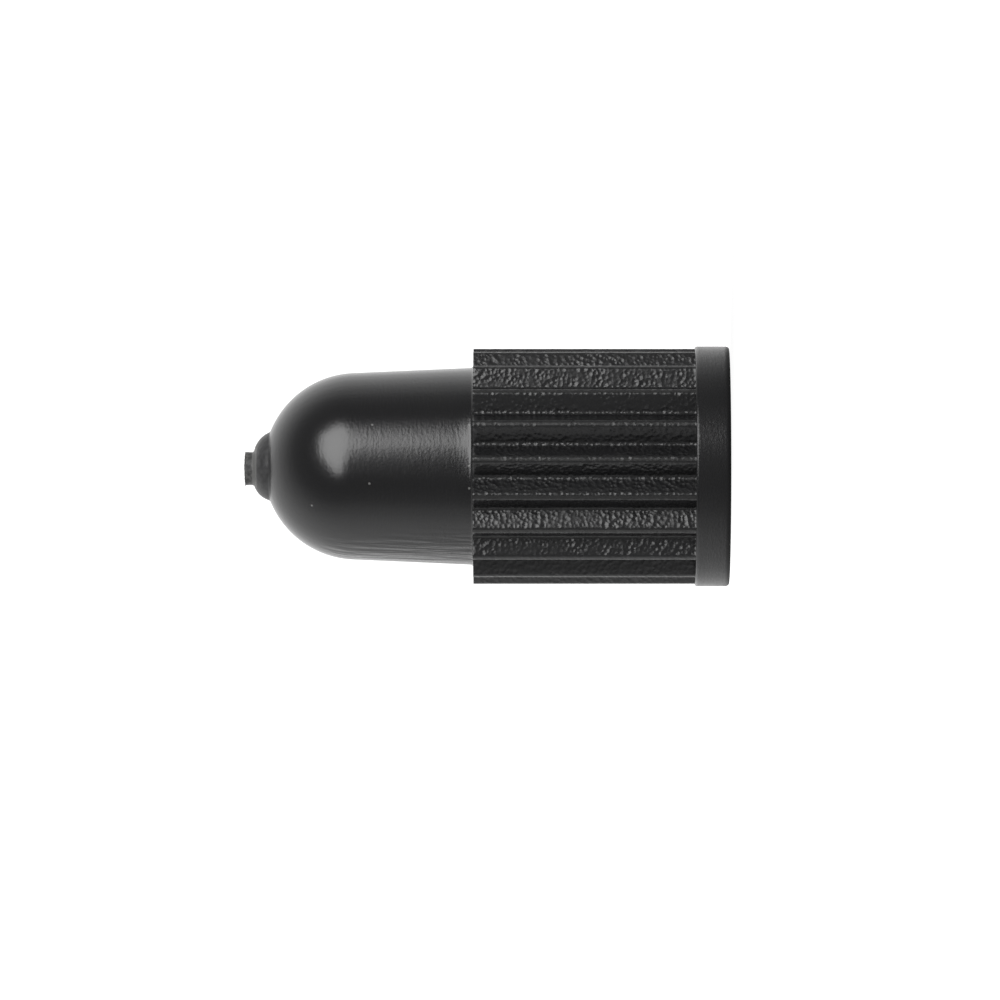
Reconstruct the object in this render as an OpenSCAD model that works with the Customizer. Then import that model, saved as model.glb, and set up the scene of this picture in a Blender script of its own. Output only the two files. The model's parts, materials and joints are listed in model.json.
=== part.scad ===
// Tyre valve cap for a slim bicycle valve: one injection moulding, open at the collar.
// The cap stands on its open rim: +Z runs to the closed end, and the origin is the rim's centre.

/* [Collar] */
// Diameter of the plain collar round the mouth
collar_d = 8.4; // [8.3:0.05:9]
// Height of the collar
collar_h = 1.2; // [0.6:0.1:2]
// Chamfer on the collar's upper outer edge
collar_chamfer = 0.07; // [0.03:0.01:0.15]
// Chamfer on the rim's outer edge
rim_chamfer = 0.1; // [0.02:0.01:0.15]

/* [Grip] */
// Diameter over the crests of the grip ribs
grip_d = 8.24; // [7.9:0.02:8.28]
// Height of the grip's shoulder above the rim
grip_top_z = 8.94; // [8:0.1:10]
// Number of grip ribs
rib_count = 20; // [16:1:24]
// Angle of a rib's crest about the axis, from +X
rib_phase = 2.9; // [0:0.1:18]
// Depth of the valleys between the ribs
rib_depth = 0.42; // [0.3:0.01:0.48]
// Width of the flat crest that each rib keeps
rib_land = 0.14; // [0.08:0.01:0.2]
// Radius that leads from the crest into the rib's flanks
crest_r = 0.18; // [0.1:0.01:0.22]
// Radius of the rounded valley bottom
valley_r = 0.16; // [0.08:0.01:0.18]
// Chamfer on the outer edge of the grip's shoulder
grip_chamfer = 0.05; // [0.02:0.01:0.12]

/* [Body] */
// Height of the dome's crown above the rim
crown_z = 16.29; // [15:0.1:18]
// Radius of the dome, and of the body where the dome starts
dome_r = 3.27; // [3.15:0.01:3.35]
// Moulding draft on the side of the body, in degrees
body_draft = 2.5; // [1:0.1:3]
// Radius of the fillet between the body and the grip's shoulder
shoulder_fillet_r = 0.1; // [0.05:0.01:0.2]

/* [Gate] */
// Diameter of the shallow boss on the crown
boss_d = 2.38; // [1.8:0.02:2.8]
// Height of the boss's rounded top above the crown, before the nub cuts it off
boss_h = 0.47; // [0.3:0.01:0.6]
// Radius of the boss's rounded top
boss_dome_r = 1.6; // [1.5:0.05:3]
// Diameter of the sprue nub left where the moulding was snapped off
nub_d = 1.16; // [0.8:0.02:1.4]
// Height of the nub's end above the crown
nub_h = 0.71; // [0.6:0.01:1.2]
// Distance of the nub from the axis, towards -X
nub_offset = 0.08; // [0:0.01:0.2]
// Radius of the nub's faintly rounded end
nub_end_r = 1.9; // [1.5:0.1:4]

/* [Bore] */
// Diameter of the valve stem's thread over its crests
stem_thread_d = 6.0; // [5.8:0.05:6.1]
// Clearance on diameter between the stem's thread and the wall round it
thread_clearance = 0.06; // [0.02:0.01:0.15]
// Length of the threaded wall, from the end of its lead-in
thread_len = 5.2; // [4:0.1:6.5]
// Radial width and height of the lead-in chamfer at the mouth
lead_in = 0.3; // [0.2:0.05:0.4]
// Diameter of the plain bore that clears the valve's core
core_bore_d = 5.0; // [4.6:0.1:5.2]
// Wall left between the inner dome and the crown
crown_wall = 0.95; // [0.7:0.05:1.3]

/* [Hidden] */
$fn = 96;
overlap = 0.01;

grip_r = grip_d / 2;
collar_r = collar_d / 2;
rib_pitch = 360 / rib_count;

// The body's cone meets the dome where both have the same slope.
dome_z = crown_z - dome_r;
tangent_z = dome_z + dome_r * sin(body_draft);
tangent_r = dome_r * cos(body_draft);
function body_r(z) = tangent_r + (tangent_z - z) * tan(body_draft);

boss_dome_z = crown_z + boss_h - boss_dome_r;
nub_top_z = crown_z + nub_h;

thread_r = (stem_thread_d + thread_clearance) / 2;
core_r = core_bore_d / 2;
thread_top_z = lead_in + thread_len;
bore_step = thread_r - core_r;
core_dome_z = crown_z - crown_wall - core_r;

// A flank is the straight line that touches the crest's round edge and the valley's round bottom.
valley_circle = grip_r - rib_depth + valley_r;
edge_turn = rib_pitch / 2 - asin(rib_land / grip_d);
edge_x = (grip_r - crest_r) * cos(edge_turn);
edge_y = (grip_r - crest_r) * sin(edge_turn);
flank_run = norm([edge_x - valley_circle, edge_y]);
flank_turn = atan2(edge_y, edge_x - valley_circle) + acos((valley_r + crest_r) / flank_run);

// One valley, open outwards: its round bottom, straight flanks and the crests' round edges.
module valley() {
    foot = [valley_circle + valley_r * cos(flank_turn), valley_r * sin(flank_turn)];
    head = [edge_x - crest_r * cos(flank_turn), edge_y - crest_r * sin(flank_turn)];
    mouth = [grip_d * cos(edge_turn), grip_d * sin(edge_turn)];
    translate([valley_circle, 0]) circle(r = valley_r);
    difference() {
        polygon([
            [valley_circle, 0],
            [foot.x, -foot.y],
            [head.x, -head.y],
            [edge_x, -edge_y],
            [mouth.x, -mouth.y],
            [mouth.x, mouth.y],
            [edge_x, edge_y],
            [head.x, head.y],
            [foot.x, foot.y]
        ]);
        for (side = [-1, 1])
            translate([edge_x, side * edge_y]) circle(r = crest_r);
    }
}

module grip() {
    intersection() {
        translate([0, 0, collar_h - overlap])
            linear_extrude(grip_top_z - collar_h + overlap)
                difference() {
                    circle(r = grip_r);
                    for (i = [0 : rib_count - 1])
                        rotate(rib_phase + (i + 0.5) * rib_pitch) valley();
                }
        union() {
            cylinder(h = grip_top_z - grip_chamfer, r = grip_r);
            translate([0, 0, grip_top_z - grip_chamfer])
                cylinder(h = grip_chamfer, r1 = grip_r, r2 = grip_r - grip_chamfer);
        }
    }
}

// A plain band, chamfered at its rim and at its upper edge.
module collar() {
    rotate_extrude() polygon([
        [0, 0],
        [collar_r - rim_chamfer, 0],
        [collar_r, rim_chamfer],
        [collar_r, collar_h - collar_chamfer],
        [collar_r - collar_chamfer, collar_h],
        [0, collar_h]
    ]);
}

module body() {
    translate([0, 0, collar_h / 2])
        cylinder(h = tangent_z - collar_h / 2, r1 = body_r(collar_h / 2), r2 = tangent_r);
    intersection() {
        translate([0, 0, dome_z]) sphere(r = dome_r);
        translate([0, 0, tangent_z]) cylinder(h = dome_r, r = dome_r);
    }
}

// Fills the corner between the body and the grip's shoulder with a concave ring.
module shoulder_fillet() {
    foot_r = body_r(grip_top_z);
    rotate_extrude() difference() {
        translate([foot_r - shoulder_fillet_r, grip_top_z - overlap])
            square([2 * shoulder_fillet_r, shoulder_fillet_r + overlap]);
        translate([foot_r + shoulder_fillet_r, grip_top_z + shoulder_fillet_r])
            circle(r = shoulder_fillet_r);
    }
}

module gate_boss() {
    intersection() {
        translate([0, 0, boss_dome_z]) sphere(r = boss_dome_r);
        translate([0, 0, crown_z - boss_d / 2]) cylinder(h = boss_d, d = boss_d);
    }
}

// The snapped nub is faintly rounded at its end, and stands a little off the axis.
module gate_nub() {
    translate([-nub_offset, 0, 0]) intersection() {
        translate([0, 0, nub_top_z - nub_end_r]) sphere(r = nub_end_r);
        translate([0, 0, crown_z - crown_wall / 2]) cylinder(h = crown_wall + nub_h, d = nub_d);
    }
}

// The hollow: lead-in, wall for the stem's thread, step, plain core bore and inner dome.
module hollow() {
    translate([0, 0, -overlap])
        cylinder(h = lead_in + overlap, r1 = thread_r + lead_in + overlap, r2 = thread_r);
    cylinder(h = thread_top_z, r = thread_r);
    translate([0, 0, thread_top_z]) cylinder(h = bore_step, r1 = thread_r, r2 = core_r);
    cylinder(h = core_dome_z, r = core_r);
    translate([0, 0, core_dome_z]) sphere(r = core_r);
}

module cap() {
    color("#1b1b1c") difference() {
        union() {
            collar();
            grip();
            body();
            shoulder_fillet();
            gate_boss();
            gate_nub();
        }
        hollow();
    }
}

cap();
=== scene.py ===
# Tyre valve cap, one black injection moulding, standing on its open rim.
# It is modelled in millimetres, one unit to each, and scaled to metres when a piece is finished.
import json
from cmath import exp, phase
from math import acos, atan2, cos, degrees, hypot, pi, radians, sin, sqrt, tan

import bmesh
import bpy
from mathutils import Matrix, Vector


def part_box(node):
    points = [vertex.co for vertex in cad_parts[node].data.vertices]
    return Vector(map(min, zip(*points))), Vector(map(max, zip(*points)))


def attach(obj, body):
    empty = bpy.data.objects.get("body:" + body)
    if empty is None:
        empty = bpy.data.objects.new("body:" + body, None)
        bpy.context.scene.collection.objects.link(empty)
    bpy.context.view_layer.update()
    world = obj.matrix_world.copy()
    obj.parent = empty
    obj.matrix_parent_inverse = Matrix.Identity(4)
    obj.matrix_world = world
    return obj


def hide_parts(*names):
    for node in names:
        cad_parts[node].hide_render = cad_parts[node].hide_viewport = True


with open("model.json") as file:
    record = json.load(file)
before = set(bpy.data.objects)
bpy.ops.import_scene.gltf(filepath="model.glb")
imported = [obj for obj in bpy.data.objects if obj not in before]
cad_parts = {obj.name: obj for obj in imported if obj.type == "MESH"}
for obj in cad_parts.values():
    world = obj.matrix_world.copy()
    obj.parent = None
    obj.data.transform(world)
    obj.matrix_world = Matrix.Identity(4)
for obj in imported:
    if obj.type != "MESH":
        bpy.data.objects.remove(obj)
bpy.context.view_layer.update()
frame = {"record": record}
metresPerMillimetre = 0.001
perMillimetre = 1 / metresPerMillimetre
hair = 1e-4  # millimetres, less than any two rows of points are apart
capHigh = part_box("cap")[1] / metresPerMillimetre
mounts = {mount["name"]: mount for mount in frame["record"]["mounts"]}
stemWall = mounts["stem_thread"]["dims"]
coreBore = mounts["core_clearance"]["dims"]
stemMiddle = mounts["stem_thread"]["pos_m"][2] / metresPerMillimetre
coreMiddle = mounts["core_clearance"]["pos_m"][2] / metresPerMillimetre
leadIn = stemMiddle - stemWall["length_mm"] / 2
print("frame loaded, cap height", round(capHigh.z, 2), "mm")

# Small tools for modelling

def deselectAll():
    if bpy.context.mode != "OBJECT":
        bpy.ops.object.mode_set(mode="OBJECT")
    bpy.ops.object.select_all(action="DESELECT")


def startEditing(piece):
    deselectAll()
    piece.select_set(True)
    bpy.context.view_layer.objects.active = piece
    bpy.ops.object.mode_set(mode="EDIT")
    bpy.ops.mesh.select_mode(type="VERT")


def openMesh():
    mesh = bmesh.from_edit_mesh(bpy.context.edit_object.data)
    mesh.verts.ensure_lookup_table()
    return mesh


def selectVertices(test):
    # selects what the test accepts, and the edges and faces between
    mesh = openMesh()
    for part in (mesh.faces, mesh.edges):
        for element in part:
            element.select = False
    for vertex in mesh.verts:
        vertex.select = test(vertex)
    mesh.select_flush(True)
    bmesh.update_edit_mesh(bpy.context.edit_object.data)


def selectEdges(test):
    mesh = openMesh()
    for part in (mesh.faces, mesh.edges, mesh.verts):
        for element in part:
            element.select = False
    for edge in mesh.edges:
        if test(edge):
            edge.select = True
    bmesh.update_edit_mesh(bpy.context.edit_object.data)


def selectedPlaces():
    return [vertex.co for vertex in openMesh().verts if vertex.select]


def loopPlace():
    # mean radius and height of the selected loop
    places = selectedPlaces()
    radius = sum(hypot(place.x, place.y) for place in places) / len(places)
    return radius, sum(place.z for place in places) / len(places)


def riseBy(height):
    # extrudes the selected loop straight up
    bpy.ops.mesh.extrude_edges_move(TRANSFORM_OT_translate={"value": (0, 0, height)})


def drawOut(height, radius=None):
    # extrudes the selected loop to a height, and rounds it to a radius where one is given
    riseBy(height - loopPlace()[1])
    if radius is not None:
        bpy.ops.transform.tosphere(value=1)
        factor = radius / loopPlace()[0]
        bpy.ops.transform.resize(value=(factor, factor, 1), center_override=(0, 0, height))


def arc(centreRadius, centreHeight, radius, fromDegrees, toDegrees, steps):
    # points of an arc in the half plane through the axis, as (radius, height), after its first
    for step in range(1, steps + 1):
        angle = radians(fromDegrees + (toDegrees - fromDegrees) * step / steps)
        yield centreRadius + radius * cos(angle), centreHeight + radius * sin(angle)


def finishPiece(piece, smoothBelow=35):
    # scales the finished piece to metres, smooths it and hangs it on the frame
    startEditing(piece)
    bpy.ops.mesh.select_all(action="SELECT")
    bpy.ops.mesh.normals_make_consistent(inside=False)
    bpy.ops.object.mode_set(mode="OBJECT")
    piece.scale = (metresPerMillimetre,) * 3
    bpy.ops.object.transform_apply(location=True, rotation=True, scale=True)
    bpy.ops.object.shade_smooth_by_angle(angle=radians(smoothBelow))
    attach(piece, "root")
    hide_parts("cap")


# The moulding: ribbed grip, collar, body, dome, boss, snapped nub and bore

moulding = {
    "ribCount": 20,
    "ribPhase": 2.9,  # degrees from +X to a crest
    "gripRadius": 4.12,
    "ribDepth": 0.48,
    "ribLand": 0.04,
    "crestRounding": 0.16,
    "crestSteps": 6,
    "valleyRounding": 0.14,
    "valleySteps": 3,
    "flankShares": (0.1, 0.5, 0.9, 1),  # points down a flank, close together at its ends
    "gripTop": 8.94,
    "shoulderFillet": 0.1,
    "filletRows": 4,
    "collarHeight": 1.2,
    "collarRounding": 0.06,
    "rimRounding": 0.12,
    "roundingRows": 5,
    "sharpFrom": 28,  # degrees between two faces whose edge gets softened
    "edgeSoftening": 0.035,
    "holding": 0.07,  # from an edge to the row that keeps the face beside it flat
    "crownHeight": 16.29,
    "domeRadius": 3.27,
    "domeRows": 24,
    "draft": 2.5,  # degrees on the body's side
    "bodyRows": 8,
    "bodyHolding": 0.01,  # share of the body's length below its first row
    "bossRadius": 1.2,
    "bossRounding": 0.84,  # of the boss's side, about a ring inside it
    "bossRing": 0.4,  # radius of that ring
    "bossRows": 12,
    "creaseFillet": 0.05,
    "filletRoom": 1.5,  # in fillets, from a fillet's edge to the nearest row
    "gateLean": 0.05,  # how far the boss's top leans towards -X
    "nubRadius": 0.575,
    "nubRows": 8,
    "nubLean": 0.03,
    "nubFillet": 0.07,
    "endDepth": 0.09,  # from the nub's straight side to the cap's full height
    "endRise": 0.007,
    "endShares": (1.03, 0.99, 0.9, 0.78, 0.65, 0.5, 0.34, 0.17),  # of the nub's radius
    "tornDepth": 0.07,
    "tornGrain": 0.14,
    "tornFade": 1.5,
    "innerDomeRows": 12,
    "innerDomeEnd": 84,  # degrees up the inner dome to its last row
}


def halfRib(rib):
    # complex points from the edge of a crest's land to beside the next valley's centre line
    crestRounding, valleyRounding = rib["crestRounding"], rib["valleyRounding"]
    halfPitch = exp(1j * pi / rib["ribCount"])
    first = rib["ribLand"] / rib["gripRadius"] / 2
    crestCentre = (rib["gripRadius"] - crestRounding) * exp(1j * first)
    valleyCentre = (rib["gripRadius"] - rib["ribDepth"] + valleyRounding) * halfPitch
    between = crestCentre - valleyCentre
    touch = phase(between) - acos((crestRounding + valleyRounding) / abs(between))
    flankStart = crestCentre - crestRounding * exp(1j * touch)
    flankEnd = valleyCentre + valleyRounding * exp(1j * touch)
    last = phase(flankStart - crestCentre)
    points = []
    for step in range(rib["crestSteps"] + 1):
        angle = first + (last - first) * step / rib["crestSteps"]
        points.append(crestCentre + crestRounding * exp(1j * angle))
    points += [flankStart + (flankEnd - flankStart) * share for share in rib["flankShares"]]
    turn = (phase(-halfPitch) - touch + pi) % (2 * pi) - pi
    for step in range(1, rib["valleySteps"]):
        angle = touch + turn * step / rib["valleySteps"]
        points.append(valleyCentre + valleyRounding * exp(1j * angle))
    return points


def ribPitch(rib):
    # one pitch of the outline as (radius, angle), from a crest's centre round to the next crest
    half = halfRib(rib)
    pitch = exp(2j * pi / rib["ribCount"])
    valleyBottom = (rib["gripRadius"] - rib["ribDepth"]) * exp(1j * pi / rib["ribCount"])
    back = [point.conjugate() * pitch for point in reversed(half)]
    points = [complex(rib["gripRadius"]), *half, valleyBottom, *back]
    return [(abs(point), phase(point)) for point in points]


def drawRibs(size):
    # a plain circle, drawn in to the outline of the ribs point by point
    pitch = ribPitch(size)
    count = len(pitch) * size["ribCount"]
    gripRadius, foot = size["gripRadius"], (0, 0, size["collarHeight"])
    deselectAll()
    bpy.ops.mesh.primitive_circle_add(vertices=count, radius=gripRadius, location=foot)
    piece = bpy.context.object
    piece.name = "capMoulding"
    bpy.ops.object.transform_apply(location=True, rotation=True, scale=True)
    startEditing(piece)
    evenStep = 2 * pi / count
    firstAngle = {vertex.index: atan2(vertex.co.y, vertex.co.x) for vertex in openMesh().verts}
    orderOf = {index: round(angle / evenStep) % count for index, angle in firstAngle.items()}
    for place, (radius, angle) in enumerate(pitch):
        selectVertices(lambda vertex: orderOf[vertex.index] % len(pitch) == place)
        factor = radius / gripRadius
        bpy.ops.transform.resize(value=(factor, factor, 1), center_override=foot)
        turn = angle - place * evenStep + radians(size["ribPhase"])
        bpy.ops.transform.rotate(value=-turn, orient_axis="Z", center_override=foot)
    print("rib outline drawn with", count, "points")
    return piece


def drawBody(size):
    # up the grip, over its shoulder, and up the body and the dome to the boss
    selectVertices(lambda vertex: True)
    gripTop, holding, fillet = size["gripTop"], size["holding"], size["shoulderFillet"]
    for height in (size["collarHeight"] + holding, gripTop - holding, gripTop):
        drawOut(height)
    domeRadius, draft = size["domeRadius"], size["draft"]
    domeHeight = size["crownHeight"] - domeRadius
    tangentHeight = domeHeight + domeRadius * sin(radians(draft))
    tangentRadius = domeRadius * cos(radians(draft))
    slope = tan(radians(draft))
    bodyFoot = tangentRadius + (tangentHeight - gripTop) * slope
    bodyStart = gripTop + fillet
    drawOut(gripTop, bodyFoot + 2 * fillet)
    for radius, height in arc(bodyFoot + fillet, bodyStart, fillet, 270, 180, size["filletRows"]):
        drawOut(height, radius)
    evenShares = [row / size["bodyRows"] for row in range(1, size["bodyRows"] + 1)]
    for share in (size["bodyHolding"], *evenShares):
        height = bodyStart + (tangentHeight - bodyStart) * share
        drawOut(height, tangentRadius + (tangentHeight - height) * slope)
    bossFoot = size["bossRadius"] + size["filletRoom"] * size["creaseFillet"]
    bossAngle = degrees(acos(bossFoot / domeRadius))
    for radius, height in arc(0, domeHeight, domeRadius, draft, bossAngle, size["domeRows"]):
        drawOut(height, radius)
    print("grip, body and dome drawn")


def drawGate(size):
    # a low round boss in a soft crease, and the nub that was snapped off
    domeHeight = size["crownHeight"] - size["domeRadius"]
    creaseHeight = domeHeight + sqrt(size["domeRadius"] ** 2 - size["bossRadius"] ** 2)
    drawOut(creaseHeight, size["bossRadius"])
    ring, rounding, nubRadius = size["bossRing"], size["bossRounding"], size["nubRadius"]
    footAngle = acos((size["bossRadius"] - ring) / rounding)
    ringHeight = creaseHeight - rounding * sin(footAngle)
    neckAngle = acos((nubRadius + size["filletRoom"] * size["nubFillet"] - ring) / rounding)
    rows = list(arc(ring, ringHeight, rounding, degrees(footAngle), degrees(neckAngle),
                    size["bossRows"]))
    for radius, height in rows:
        drawOut(height, radius)
    nubFoot = ringHeight + sqrt(rounding ** 2 - (nubRadius - ring) ** 2)
    drawOut(nubFoot, nubRadius)
    for radius, height in rows:  # the boss leans a little further at each row
        selectVertices(lambda vertex: vertex.co.z > height - hair)
        bpy.ops.transform.translate(value=(-size["gateLean"] / len(rows), 0, 0))
    selectVertices(lambda vertex: vertex.co.z > nubFoot - hair)
    bpy.ops.transform.translate(value=(-size["nubLean"], 0, 0))

    # up the nub's side, and in over its end
    nubAxis = -size["gateLean"] - size["nubLean"]
    for row in range(size["nubRows"]):
        riseBy((capHigh.z - size["endDepth"] - nubFoot) / size["nubRows"])
    for share in size["endShares"]:
        riseBy(size["endRise"])
        places = selectedPlaces()
        oldRadius = sum(hypot(place.x - nubAxis, place.y) for place in places) / len(places)
        factor = share * nubRadius / oldRadius
        axis = (nubAxis, 0, loopPlace()[1])
        bpy.ops.transform.resize(value=(factor, factor, 1), center_override=axis)
    bpy.ops.mesh.merge(type="CENTER")
    for level, fillet in ((creaseHeight, size["creaseFillet"]), (nubFoot, size["nubFillet"])):
        selectEdges(lambda edge: all(abs(vertex.co.z - level) < hair for vertex in edge.verts))
        bpy.ops.mesh.bevel(offset=fillet, segments=size["roundingRows"], profile=0.5)
    print("gate drawn")
    return creaseHeight, nubFoot


def drawMouth(size):
    # down the collar, round the rim, and up the bore to the inner dome
    collar, base = capHigh.x, size["collarHeight"]
    rounding, rim, rows = size["collarRounding"], size["rimRounding"], size["roundingRows"]
    selectEdges(lambda edge: edge.is_boundary and abs(edge.verts[0].co.z - base) < hair)
    drawOut(base, collar - rounding)
    for radius, height in arc(collar - rounding, base - rounding, rounding, 90, 0, rows):
        drawOut(height, radius)
    for height in (base - rounding - size["holding"], rim + size["holding"], rim):
        drawOut(height)
    for radius, height in arc(collar - rim, rim, rim, 0, -90, rows):
        drawOut(height, radius)
    wall, bore = stemWall["r_mm"], coreBore["r_mm"]
    innerDome = coreMiddle + coreBore["length_mm"] / 2
    drawOut(0, wall + leadIn)
    drawOut(leadIn, wall)
    drawOut(leadIn + stemWall["length_mm"], wall)
    drawOut(coreMiddle - coreBore["length_mm"] / 2, bore)
    drawOut(innerDome, bore)
    for radius, height in arc(0, innerDome, bore, 0, size["innerDomeEnd"], size["innerDomeRows"]):
        drawOut(height, radius)
    bpy.ops.mesh.merge(type="CENTER")
    print("collar and bore drawn")


def softenEdges(size):
    # every hard edge of a mould is a little soft on the part
    selectVertices(lambda vertex: False)
    bpy.ops.mesh.select_mode(type="EDGE")
    bpy.ops.mesh.edges_select_sharp(sharpness=radians(size["sharpFrom"]))
    bpy.ops.mesh.bevel(offset=size["edgeSoftening"], segments=3, profile=0.5, clamp_overlap=True)
    bpy.ops.mesh.select_all(action="SELECT")
    bpy.ops.mesh.remove_doubles(threshold=1e-5)
    bpy.ops.object.mode_set(mode="OBJECT")


def tearNub(piece, size, nubFoot):
    # the snapped end is uneven, and the tear fades out down the nub's side
    tornGroup = piece.vertex_groups.new(name="torn")
    for vertex in piece.data.vertices:
        share = (vertex.co.z - nubFoot) / (capHigh.z - nubFoot)
        if share > 0:
            tornGroup.add([vertex.index], min(1, share ** size["tornFade"]), "REPLACE")
    clouds = bpy.data.textures.new("tornPlastic", "CLOUDS")
    clouds.noise_scale = size["tornGrain"]
    tear = piece.modifiers.new("tear", "DISPLACE")
    tear.texture = clouds
    tear.vertex_group = tornGroup.name
    tear.strength = size["tornDepth"]
    bpy.ops.object.modifier_apply(modifier=tear.name)


# The thread inside the mouth, a triangular ridge with flats that winds up the wall

thread = {
    "pitch": 0.8,
    "ridgeHeight": 0.44,
    "crestWidth": 0.12,
    "footWidth": 0.62,
    "turns": 6,
    "stepsPerTurn": 96,
    "footDepth": 0.05,  # how far the ridge is rooted in the wall
}


def buildThread(size):
    wall, middle = stemWall["r_mm"], leadIn + size["footWidth"] / 2
    deselectAll()
    bpy.ops.mesh.primitive_plane_add(size=1, location=(wall, 0, middle),
                                     rotation=(radians(90), 0, 0))
    piece = bpy.context.object
    piece.name = "mouthThread"
    bpy.ops.object.transform_apply(location=True, rotation=True, scale=True)
    startEditing(piece)
    sides = ((lambda x: x > wall, size["footDepth"], size["footWidth"]),
             (lambda x: x < wall, -size["ridgeHeight"], size["crestWidth"]))
    placed = {vertex.index: vertex.co.x for vertex in openMesh().verts}
    for isSide, reach, width in sides:
        selectVertices(lambda vertex: isSide(placed[vertex.index]))
        shift = wall + reach - loopPlace()[0]
        bpy.ops.transform.translate(value=(shift, 0, 0))
        bpy.ops.transform.resize(value=(1, 1, width), center_override=(0, 0, middle))
    bpy.ops.mesh.select_all(action="SELECT")
    bpy.ops.mesh.delete(type="ONLY_FACE")
    bpy.ops.object.mode_set(mode="OBJECT")
    screw = piece.modifiers.new("winding", "SCREW")
    screw.axis = "Z"
    screw.angle = 2 * pi
    screw.screw_offset = size["pitch"]
    screw.iterations = size["turns"]
    screw.steps = screw.render_steps = size["stepsPerTurn"]
    screw.use_merge_vertices = False
    bpy.ops.object.modifier_apply(modifier=screw.name)
    startEditing(piece)
    selectEdges(lambda edge: edge.is_boundary)
    bpy.ops.mesh.edge_face_add()
    bpy.ops.object.mode_set(mode="OBJECT")
    print("thread wound")
    return piece


capMoulding = drawRibs(moulding)
drawBody(moulding)
creaseHeight, nubFoot = drawGate(moulding)
drawMouth(moulding)
softenEdges(moulding)
tearNub(capMoulding, moulding, nubFoot)
mouthThread = buildThread(thread)

# Materials

def toLinear(hexColour):
    # sRGB hex to the linear colour that the shader takes
    channels = [int(hexColour[place:place + 2], 16) / 255 for place in (1, 3, 5)]
    return [c / 12.92 if c <= 0.04045 else ((c + 0.055) / 1.055) ** 2.4 for c in channels] + [1]


def addNode(tree, kind, **settings):
    # adds a node; a setting is one of its properties or a socket's value or link, by name
    made = tree.nodes.new(kind)
    for name, value in settings.items():
        if hasattr(made, name):
            setattr(made, name, value)
            continue
        key = name.replace("_", " ")
        socket = made.inputs[int(name[5:])] if name.startswith("input") else made.inputs[key]
        if isinstance(value, bpy.types.NodeSocket):
            tree.links.new(value, socket)
        else:
            socket.default_value = value
    return made


# in this and the looks below, sizes and depths are in millimetres
plastic = {
    "black": "#171718",
    "ior": 1.5,
}

body = {
    "roughness": 0.22,
    "turningPitch": 0.09,
    "turningDepth": 0.0026,
    "turningStretch": 0.2,  # draws the lathe's rings out round the axis
    "speckleSize": 0.09,
    "speckleDepth": 0.0038,
    "scuffWidth": 0.22,
    "scuffDepth": 0.09,
    "scuffStretch": 0.08,  # draws the drag marks out along the axis
    "scuffSide": (-0.91, -0.41, 0),
    "scuffReach": (3.0, 3.4),  # from the axis to that side: no marks yet, and marks in full
    "speck": "#6a6a69",
    "speckRadius": 0.05,
    # height, and degrees towards +X from -Y
    "speckSpots": ((9.06, 24.4), (9.07, 0), (9.06, -13),
                   (12.42, 25.6), (12.52, -10.7), (14.53, -28.2)),
}

grip = {
    "roughness": 0.3,
    "grainSize": 0.15,
    "grainDepth": 0.027,
    "grainSoftness": 0.3,
    "grainRadii": (0.9995, 0.996),  # crest and full grain, as shares of the grip's radius
    "crestGrain": 0.5,  # share of the grain that is left on the crests
    "patchSize": 0.6,  # of the patches in which the grain is finer or coarser
    "patchRange": (0.35, 0.6),
    "patchGrain": 0.35,  # share of the grain that the finest patches have
    "paintedCrestHighlight": "#242424",  # the crests' lands painted paler, a painted highlight along each crest
    "paintedHighlightRadii": (0.9996, 0.99995),
    "insideRadius": 3.6,  # between the valleys and the body's foot
}

boss = {
    "roughness": 0.45,
    "shades": ("#212122", "#323233"),
    "blotchSize": 0.2,
    "blotchRange": (0.35, 0.65),
    "skinSize": 0.15,
    "skinDetail": 2,
    "skinDepth": 0.012,
}

torn = {
    "roughness": 0.55,
    "shades": ("#2e2e2e", "#565655"),
    "blotchSize": 0.16,
    "blotchRange": (0.35, 0.65),
    "skinSize": 0.1,
    "skinDetail": 3,
    "skinDepth": 0.02,
    "paintedNeckReflection": "#5e5e5d",  # a painted reflection of the pale backdrop on the fillet round the nub's neck
    "neckReach": 0.1,
    "neckReflectionShares": (0.7, 0.3),  # of that reach, from none of the painted reflection to all of it
}


def newMaterial(name, roughness):
    material = bpy.data.materials.new(name)
    material.use_nodes = True
    tree = material.node_tree
    tree.nodes.clear()
    shader = addNode(tree, "ShaderNodeBsdfPrincipled", IOR=plastic["ior"], Roughness=roughness,
                     Base_Color=toLinear(plastic["black"]))
    addNode(tree, "ShaderNodeOutputMaterial", Surface=shader.outputs[0])
    place = addNode(tree, "ShaderNodeTexCoord").outputs["Object"]
    return material, tree, shader, place


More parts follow.
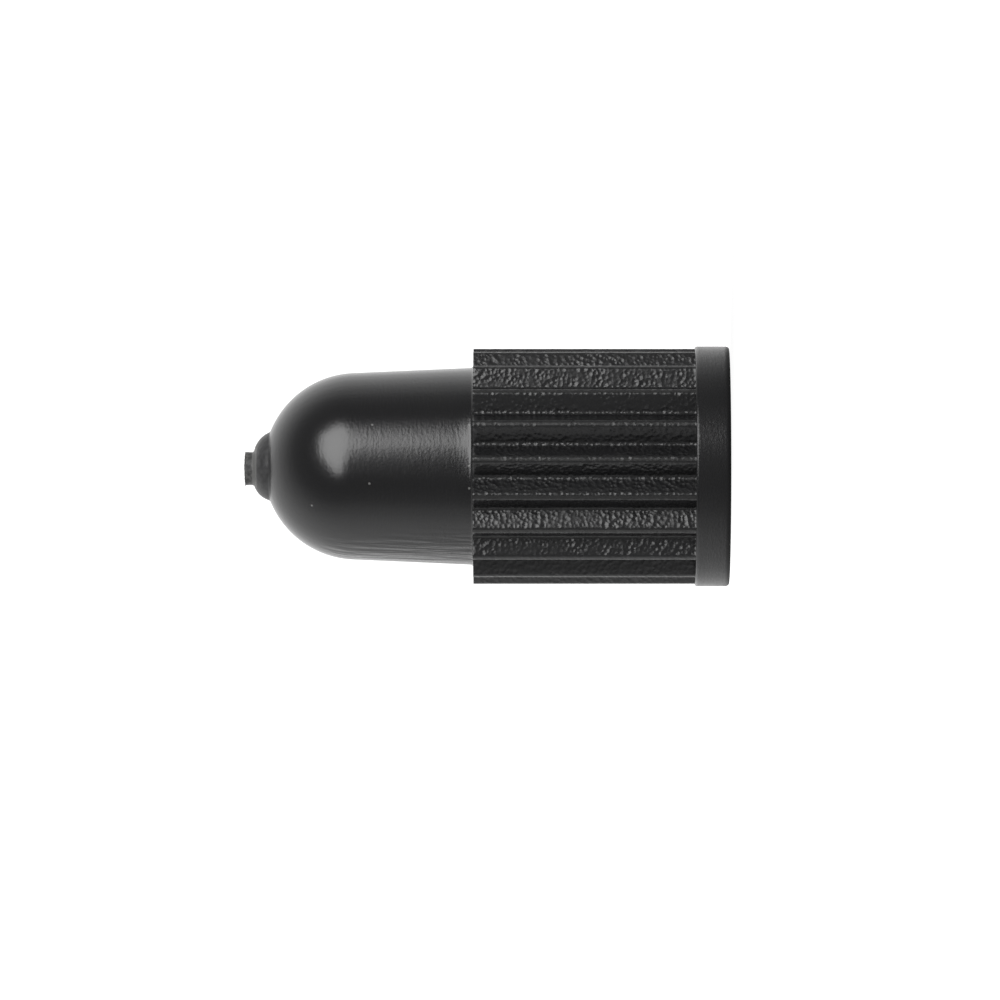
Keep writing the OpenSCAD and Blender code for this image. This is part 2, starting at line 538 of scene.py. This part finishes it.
def polishedMould(look):
    # polypropylene from a turned and polished cavity: a soft gloss with fine rings from the lathe,
    # a faint speckle, and drag marks along the side that slid out of the mould
    material, tree, shader, place = newMaterial("polypropyleneTurnedMould", look["roughness"])
    around = addNode(tree, "ShaderNodeVectorMath", operation="MULTIPLY", input0=place,
                     input1=(look["turningStretch"], look["turningStretch"], 1))
    rings = addNode(tree, "ShaderNodeTexNoise", Vector=around.outputs[0], Detail=2,
                    Scale=perMillimetre / look["turningPitch"])
    turned = addNode(tree, "ShaderNodeBump", Height=rings.outputs["Fac"], Strength=1,
                     Distance=look["turningDepth"] * metresPerMillimetre)
    speckle = addNode(tree, "ShaderNodeTexNoise", Vector=place, Detail=2,
                      Scale=perMillimetre / look["speckleSize"])
    speckled = addNode(tree, "ShaderNodeBump", Height=speckle.outputs["Fac"], Strength=1,
                       Normal=turned.outputs[0],
                       Distance=look["speckleDepth"] * metresPerMillimetre)
    lengthwise = addNode(tree, "ShaderNodeVectorMath", operation="MULTIPLY", input0=place,
                         input1=(1, 1, look["scuffStretch"]))
    drag = addNode(tree, "ShaderNodeTexNoise", Vector=lengthwise.outputs[0], Detail=3,
                   Scale=perMillimetre / look["scuffWidth"])
    towardsSide = addNode(tree, "ShaderNodeVectorMath", operation="DOT_PRODUCT", input0=place,
                          input1=look["scuffSide"])
    noMarks, fullMarks = (reach * metresPerMillimetre for reach in look["scuffReach"])
    scuffed = addNode(tree, "ShaderNodeMapRange", Value=towardsSide.outputs["Value"],
                      From_Min=noMarks, From_Max=fullMarks)
    height = addNode(tree, "ShaderNodeSeparateXYZ", Vector=place).outputs["Z"]
    aboveGrip = addNode(tree, "ShaderNodeMath", operation="GREATER_THAN", input0=height,
                        input1=moulding["gripTop"] * metresPerMillimetre)
    strength = addNode(tree, "ShaderNodeMath", operation="MULTIPLY", input0=scuffed.outputs[0],
                       input1=aboveGrip.outputs[0])
    dragged = addNode(tree, "ShaderNodeBump", Height=drag.outputs["Fac"],
                      Strength=strength.outputs[0], Normal=speckled.outputs[0],
                      Distance=look["scuffDepth"] * metresPerMillimetre)
    tree.links.new(dragged.outputs[0], shader.inputs["Normal"])

    # small pale specks, each at its own height and angle
    colour = toLinear(plastic["black"])
    domeRadius = moulding["domeRadius"]
    domeHeight = moulding["crownHeight"] - domeRadius
    speck = look["speckRadius"] * metresPerMillimetre
    for height, angle in look["speckSpots"]:
        reach = sqrt(domeRadius ** 2 - max(0, height - domeHeight) ** 2)
        reach += max(0, domeHeight - height) * tan(radians(moulding["draft"]))
        spot = Vector((reach * sin(radians(angle)), -reach * cos(radians(angle)), height))
        away = addNode(tree, "ShaderNodeVectorMath", operation="DISTANCE", input0=place,
                       input1=spot * metresPerMillimetre)
        mask = addNode(tree, "ShaderNodeMapRange", Value=away.outputs["Value"],
                       From_Min=speck, From_Max=speck / 2)
        mixed = addNode(tree, "ShaderNodeMix", data_type="RGBA", input0=mask.outputs[0],
                        input6=colour, input7=toLinear(look["speck"]))
        colour = mixed.outputs[2]
    tree.links.new(colour, shader.inputs["Base Color"])
    return material


def erodedMould(look):
    # polypropylene from a spark-eroded cavity: grain that sparkles, finer and coarser in patches,
    # while the crests keep less of the grain, and their lands are painted paler as a painted
    # highlight
    material, tree, shader, place = newMaterial("polypropyleneSparkErodedMould", look["roughness"])
    level = addNode(tree, "ShaderNodeVectorMath", operation="MULTIPLY", input0=place,
                    input1=(1, 1, 0))
    radial = addNode(tree, "ShaderNodeVectorMath", operation="LENGTH", input0=level.outputs[0])
    crest = moulding["gripRadius"] * metresPerMillimetre
    grainStart, grainFull = (crest * share for share in look["grainRadii"])
    eroded = addNode(tree, "ShaderNodeMapRange", Value=radial.outputs["Value"],
                     From_Min=grainStart, From_Max=grainFull, To_Min=look["crestGrain"])
    pits = addNode(tree, "ShaderNodeTexVoronoi", feature="SMOOTH_F1", Vector=place,
                   Scale=perMillimetre / look["grainSize"], Smoothness=look["grainSoftness"])
    patch = addNode(tree, "ShaderNodeTexNoise", Vector=place, Detail=1,
                    Scale=perMillimetre / look["patchSize"])
    low, high = look["patchRange"]
    patches = addNode(tree, "ShaderNodeMapRange", Value=patch.outputs["Fac"], From_Min=low,
                      From_Max=high, To_Min=look["patchGrain"])
    strength = addNode(tree, "ShaderNodeMath", operation="MULTIPLY", input0=eroded.outputs[0],
                       input1=patches.outputs[0])
    bump = addNode(tree, "ShaderNodeBump", Height=pits.outputs["Distance"],
                   Strength=strength.outputs[0],
                   Distance=look["grainDepth"] * metresPerMillimetre)
    tree.links.new(bump.outputs[0], shader.inputs["Normal"])
    # the paler tone on the crests' lands is a painted highlight along the crest lines
    highlightStart, highlightFull = (crest * share for share in look["paintedHighlightRadii"])
    crestHighlight = addNode(tree, "ShaderNodeMapRange", Value=radial.outputs["Value"],
                     From_Min=highlightStart, From_Max=highlightFull)
    tone = addNode(tree, "ShaderNodeMix", data_type="RGBA", input0=crestHighlight.outputs[0],
                   input6=toLinear(plastic["black"]), input7=toLinear(look["paintedCrestHighlight"]))
    tree.links.new(tone.outputs[2], shader.inputs["Base Color"])
    return material


def blotchyPlastic(name, look):
    # polypropylene that no polished wall shaped: two shades in blotches, and an uneven skin
    material, tree, shader, place = newMaterial(name, look["roughness"])
    blotch = addNode(tree, "ShaderNodeTexNoise", Vector=place, Detail=2,
                     Scale=perMillimetre / look["blotchSize"])
    low, high = look["blotchRange"]
    share = addNode(tree, "ShaderNodeMapRange", Value=blotch.outputs["Fac"], From_Min=low,
                    From_Max=high)
    dark, pale = (toLinear(shade) for shade in look["shades"])
    tone = addNode(tree, "ShaderNodeMix", data_type="RGBA", input0=share.outputs[0],
                   input6=dark, input7=pale)
    skin = addNode(tree, "ShaderNodeTexNoise", Vector=place, Detail=look["skinDetail"],
                   Scale=perMillimetre / look["skinSize"])
    rough = addNode(tree, "ShaderNodeBump", Height=skin.outputs["Fac"], Strength=1,
                    Distance=look["skinDepth"] * metresPerMillimetre)
    tree.links.new(tone.outputs[2], shader.inputs["Base Color"])
    tree.links.new(rough.outputs[0], shader.inputs["Normal"])
    return material, tree, shader, place, tone.outputs[2]


def gatePlastic(look):
    # polypropylene on the gate's boss, matt where the melt froze against the sprue's bush
    return blotchyPlastic("polypropyleneGate", look)[0]


def tornPlastic(look):
    # polypropylene where the sprue was snapped off: dull and blotchy, with a painted reflection of
    # the pale backdrop round its neck
    material, tree, shader, place, tone = blotchyPlastic("polypropyleneTorn", look)
    # a pale band round the nub's neck: a painted reflection of the pale backdrop
    height = addNode(tree, "ShaderNodeSeparateXYZ", Vector=place).outputs["Z"]
    foot, reach = nubFoot * metresPerMillimetre, look["neckReach"] * metresPerMillimetre
    noReflection, fullReflection = (foot + share * reach for share in look["neckReflectionShares"])
    reflectionShare = addNode(tree, "ShaderNodeMapRange", Value=height, From_Min=noReflection, From_Max=fullReflection)
    reflectedNeck = addNode(tree, "ShaderNodeMix", data_type="RGBA", input0=reflectionShare.outputs[0],
                       input6=tone, input7=toLinear(look["paintedNeckReflection"]))
    tree.links.new(reflectedNeck.outputs[2], shader.inputs["Base Color"])
    return material


def assignMaterials(materials):
    # the first is the body's, and the others take the grip, the snapped nub and the boss
    for material in materials:
        capMoulding.data.materials.append(material)
    gripFoot, gripTop = moulding["collarHeight"] - 0.01, moulding["gripTop"] + 0.01
    for face in capMoulding.data.polygons:
        height, radial = face.center.z, hypot(face.center.x, face.center.y)
        if gripFoot < height < gripTop and radial > grip["insideRadius"]:
            face.material_index = 1
        elif height > nubFoot - torn["neckReach"]:
            face.material_index = 2
        elif height > creaseHeight:
            face.material_index = 3
    mouthThread.data.materials.append(materials[0])


assignMaterials([polishedMould(body), erodedMould(grip), tornPlastic(torn), gatePlastic(boss)])
finishPiece(capMoulding)
finishPiece(mouthThread)
print("materials set")

# Floor, light and camera

# directions are in the part's frame, and each lies on the paler side
studio = {
    "floorSize": 4,  # metres
    # the floor's colour is a painted falloff of light: pale behind the part, darker towards the
    # camera
    "floorPaintedLightTowards": (-0.4, 0.9, 0),
    "floorRange": (-0.9, 0.3),
    "floorPaintedFalloff": ("#7c7c7c", "#f0f0f0"),
    "floorGlow": 0.8,  # seen by the camera only
    "paperTowards": (-0.45, 1, -0.35),
    "paperShades": ((0.1, "#616161"), (0.25, "#828282"), (0.43, "#d4d4d4"), (0.6, "#fafafa"),
                    (0.85, "#ffffff")),
    "paperBrightness": 1.3,
}


def buildFloor(look):
    deselectAll()
    bpy.ops.mesh.primitive_plane_add(size=look["floorSize"])
    floor = bpy.context.object
    floor.name = "studioFloor"
    material = bpy.data.materials.new("whiteFloor")
    material.use_nodes = True
    tree = material.node_tree
    tree.nodes.clear()
    place = addNode(tree, "ShaderNodeTexCoord").outputs["Object"]
    way = addNode(tree, "ShaderNodeVectorMath", operation="NORMALIZE", input0=place)
    behind = addNode(tree, "ShaderNodeVectorMath", operation="DOT_PRODUCT", input0=way.outputs[0],
                     input1=look["floorPaintedLightTowards"])
    low, high = look["floorRange"]
    share = addNode(tree, "ShaderNodeMapRange", Value=behind.outputs["Value"], From_Min=low,
                    From_Max=high)
    # painted light falloff: the floor's colour darkens from behind the part towards the camera
    dark, pale = (toLinear(shade) for shade in look["floorPaintedFalloff"])
    tone = addNode(tree, "ShaderNodeMix", data_type="RGBA", input0=share.outputs[0],
                   input6=dark, input7=pale)
    paint = addNode(tree, "ShaderNodeBsdfDiffuse", Color=tone.outputs[2])
    glow = addNode(tree, "ShaderNodeEmission", Color=toLinear("#ffffff"),
                   Strength=look["floorGlow"])
    both = addNode(tree, "ShaderNodeAddShader", input0=paint.outputs[0], input1=glow.outputs[0])
    ray = addNode(tree, "ShaderNodeLightPath")
    seen = addNode(tree, "ShaderNodeMixShader", Fac=ray.outputs["Is Camera Ray"],
                   input1=paint.outputs[0], input2=both.outputs[0])
    addNode(tree, "ShaderNodeOutputMaterial", Surface=seen.outputs[0])
    floor.data.materials.append(material)


def buildWorld(look):
    # white paper behind and below the part, falling off to the dark of the room elsewhere
    world = bpy.data.worlds.new("paperSweep")
    bpy.context.scene.world = world
    world.use_nodes = True
    tree = world.node_tree
    tree.nodes.clear()
    way = addNode(tree, "ShaderNodeTexCoord").outputs["Generated"]
    along = addNode(tree, "ShaderNodeVectorMath", operation="DOT_PRODUCT", input0=way,
                    input1=look["paperTowards"])
    share = addNode(tree, "ShaderNodeMapRange", Value=along.outputs["Value"], From_Min=-1.0,
                    From_Max=1.0)
    ramp = addNode(tree, "ShaderNodeValToRGB", Fac=share.outputs[0])
    for spot, shade in look["paperShades"]:
        stop = ramp.color_ramp.elements.new(spot)
        stop.color = toLinear(shade)
    ramp.color_ramp.elements.remove(ramp.color_ramp.elements[0])
    ramp.color_ramp.elements.remove(ramp.color_ramp.elements[-1])
    ray = addNode(tree, "ShaderNodeLightPath")
    colour = addNode(tree, "ShaderNodeMix", data_type="RGBA", input0=ray.outputs["Is Camera Ray"],
                     input6=ramp.outputs[0], input7=toLinear("#ffffff"))
    glow = addNode(tree, "ShaderNodeBackground", Color=colour.outputs[2],
                   Strength=look["paperBrightness"])
    addNode(tree, "ShaderNodeOutputWorld", Surface=glow.outputs[0])


softbox = {
    "towardsCrown": 26.4,  # degrees from the camera's line, towards +Z
    "towardsSide": 19.3,  # degrees towards +X
    "distance": 0.35,  # metres from the middle of the cap
    "brightness": 6.2,
    # its eight corners, as shares of the distance towards the rim and towards +X
    "corners": ((-0.42, 0.32), (-0.1, 0.6), (0.16, 0.6), (0.32, 0.27),
                (0.36, 0.17), (0.15, -0.5), (0.04, -0.58), (-0.37, -0.06)),
}


def buildSoftbox(light):
    crown, side = radians(light["towardsCrown"]), radians(light["towardsSide"])
    way = Vector((sin(side), -cos(side) * cos(crown), cos(side) * sin(crown)))
    across = Vector((0, -sin(crown), -cos(crown)))
    upright = across.cross(-way)
    middle = Vector((0, 0, capHigh.z / 2 * metresPerMillimetre)) + way * light["distance"]
    corners = [middle + (across * x + upright * y) * light["distance"]
               for x, y in light["corners"]]
    mesh = bpy.data.meshes.new("softbox")
    mesh.from_pydata(corners, [], [range(len(corners))])
    diffuser = bpy.data.objects.new("softbox", mesh)
    bpy.context.scene.collection.objects.link(diffuser)
    cloth = bpy.data.materials.new("litDiffuserCloth")
    cloth.use_nodes = True
    cloth.node_tree.nodes.clear()
    glow = addNode(cloth.node_tree, "ShaderNodeEmission", Strength=light["brightness"])
    addNode(cloth.node_tree, "ShaderNodeOutputMaterial", Surface=glow.outputs[0])
    mesh.materials.append(cloth)


# millimetres, but for the clipping distances
lens = {
    "distance": 306.0,  # from the cap's axis
    "height": 6.61,
    "aimHeight": 8.01,
    "aimSide": -1.181,
    "focal": 314.7,
    "sensor": 36,
    "clipping": (0.01, 10),  # metres
}


def buildCamera(view):
    data = bpy.data.cameras.new("camera")
    data.lens = view["focal"]
    data.sensor_width = view["sensor"]
    data.clip_start, data.clip_end = view["clipping"]
    camera = bpy.data.objects.new("camera", data)
    bpy.context.scene.collection.objects.link(camera)
    eye = Vector((view["aimSide"], -view["distance"], view["height"]))
    aim = Vector((view["aimSide"], 0, view["aimHeight"]))
    back = (eye - aim).normalized()
    up = Vector((1, 0, 0))  # the cap lies across the picture, its crown to the left
    right = up.cross(back).normalized()
    turn = Matrix((right, back.cross(right), back)).transposed()
    camera.matrix_world = Matrix.Translation(eye * metresPerMillimetre) @ turn.to_4x4()
    bpy.context.scene.camera = camera


buildFloor(studio)
buildWorld(studio)
buildSoftbox(softbox)
buildCamera(lens)
bpy.context.scene.view_settings.view_transform = "Standard"
bpy.context.view_layer.update()
print("stage set")
